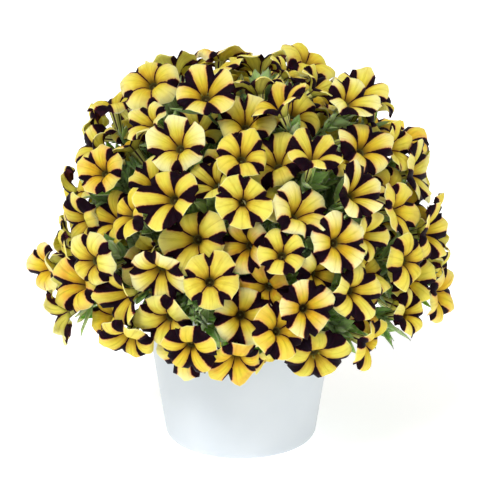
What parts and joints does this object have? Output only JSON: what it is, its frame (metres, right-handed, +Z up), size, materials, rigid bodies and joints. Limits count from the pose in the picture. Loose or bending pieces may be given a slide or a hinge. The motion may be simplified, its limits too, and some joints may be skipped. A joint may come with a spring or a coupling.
{
  "type": "potted petunia",
  "caption": "Round bush of petunias with striped trumpet blooms on leafy stems, growing in a plain tapered pot of compost.",
  "frame": {"origin": "middle of the pot's flat base, on the surface that the pot stands on", "axes": "+Z straight up along the pot's axis; the front of the bush faces -Y and +X is to its right"},
  "size_m": [0.3831, 0.3885, 0.3669],
  "materials": {
    "pot": "satin",
    "compost": "matte",
    "petals": "matte",
    "foliage": "satin"
  },
  "bodies": {
    "root": {"pot": "pot", "soil": "compost", "spray_01": "petals", "spray_02": "petals", "spray_03": "petals", "spray_04": "petals", "spray_05": "petals", "spray_06": "petals", "spray_07": "petals", "spray_08": "petals", "spray_09": "petals", "spray_10": "petals", "spray_11": "petals", "shoot_12": "foliage", "spray_13": "petals", "spray_14": "petals", "spray_15": "petals", "spray_16": "petals", "spray_17": "petals", "spray_18": "petals", "spray_19": "petals", "spray_20": "petals", "spray_21": "petals", "spray_22": "petals", "spray_23": "petals", "shoot_24": "foliage", "spray_25": "petals", "spray_26": "petals", "spray_27": "petals", "spray_28": "petals", "spray_29": "petals", "spray_30": "petals", "spray_31": "petals", "spray_32": "petals", "spray_33": "petals", "spray_34": "petals", "spray_35": "petals", "shoot_36": "foliage", "spray_37": "petals", "spray_38": "petals"}
  },
  "joints": []
}
